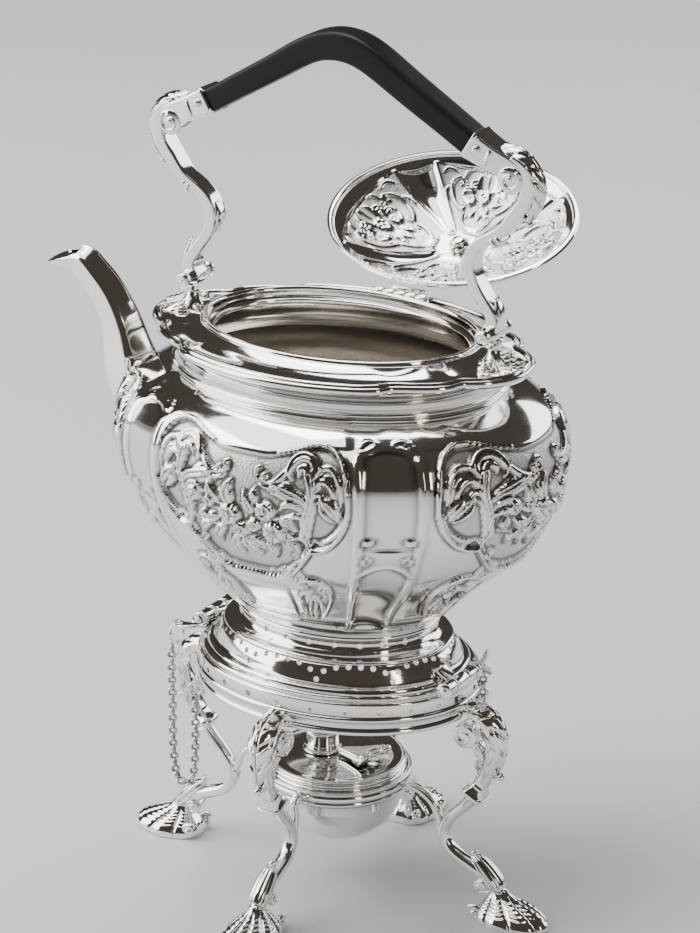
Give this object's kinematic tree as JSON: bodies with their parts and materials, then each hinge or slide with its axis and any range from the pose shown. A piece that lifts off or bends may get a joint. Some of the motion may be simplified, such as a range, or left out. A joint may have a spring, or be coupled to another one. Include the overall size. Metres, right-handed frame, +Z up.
{
  "type": "kettle on stand",
  "caption": "Oval silver tea kettle with hinged lid, swan-neck spout and fixed loop handle, pinned to a four-legged stand that holds a spirit burner.",
  "frame": {"origin": "middle of the whole piece's footprint, on the table", "axes": "+Z up, the spout towards -X, the open lid towards +Y"},
  "size_m": [0.231, 0.2038, 0.3477],
  "materials": {
    "silver": "polished sterling silver with darker oxidised recesses and soft matted grounds",
    "grip": "matt black insulating grip",
    "wick": "braided cotton wick"
  },
  "bodies": {
    "stand": {"stand_ring": "silver", "burner_holder": "silver", "leg_front": "silver", "foot_front": "silver", "strut_front": "silver", "leg_rear": "silver", "foot_rear": "silver", "strut_rear": "silver", "leg_left": "silver", "foot_left": "silver", "strut_left": "silver", "leg_right": "silver", "foot_right": "silver", "strut_right": "silver", "front_knuckle_left": "silver", "front_knuckle_right": "silver", "rear_knuckle_left": "silver", "rear_knuckle_right": "silver", "front_chain_eye": "silver", "front_chain_pin_side": "silver", "front_chain_stand_side": "silver", "rear_chain_eye": "silver", "rear_chain_pin_side": "silver", "rear_chain_stand_side": "silver"},
    "kettle": {"kettle_body": "silver", "neck_band": "silver", "collar": "silver", "mouth_rim": "silver", "spout": "silver", "kettle_foot": "silver", "front_lug": "silver", "rear_lug": "silver", "handle_grip": "grip", "lid_hinge_leaf_kettle": "silver", "handle_foot_front": "silver", "handle_column_front": "silver", "handle_socket_front": "silver", "handle_rivet_front": "silver", "handle_foot_rear": "silver", "handle_column_rear": "silver", "handle_socket_rear": "silver", "handle_rivet_rear": "silver"},
    "lid": {"lid_dome": "silver", "lid_rim": "silver", "lid_finial": "silver", "lid_finial_nut": "silver", "lid_hinge_leaf": "silver", "lid_hinge_pin": "silver"},
    "pin_front": {"front_pin": "silver", "front_pin_thumb": "silver", "front_pin_ring": "silver"},
    "pin_rear": {"rear_pin": "silver", "rear_pin_thumb": "silver", "rear_pin_ring": "silver"},
    "burner": {"burner_font": "silver", "wick_tube": "silver", "wick": "wick", "burner_flap_frame": "silver", "burner_flap_pin": "silver"},
    "flap": {"burner_flap": "silver"}
  },
  "joints": [
    {"name": "kettle_tilt", "type": "hinge", "parent": "stand", "child": "kettle", "pos_m": [-0.03937, -0.01663, 0.101], "axis": [0, -1, 0], "range_deg": [0, 50]},
    {"name": "lid_hinge", "type": "hinge", "parent": "kettle", "child": "lid", "pos_m": [0.01863, 0.02687, 0.2313], "axis": [1, 0, 0], "range_deg": [0, 153]},
    {"name": "front_pin_pull", "type": "slide", "parent": "stand", "child": "pin_front", "axis": [0, -1, 0], "range_m": [0, 0.03]},
    {"name": "rear_pin_pull", "type": "slide", "parent": "stand", "child": "pin_rear", "axis": [0, 1, 0], "range_m": [0, 0.03]},
    {"name": "burner_lift", "type": "slide", "parent": "stand", "child": "burner", "axis": [0, 0, 1], "range_m": [0, 0.025]},
    {"name": "burner_flap_hinge", "type": "hinge", "parent": "burner", "child": "flap", "pos_m": [0.03594, -0.01867, 0.0574], "axis": [0.2756, 0.9613, 0], "range_deg": [0, 110]}
  ]
}
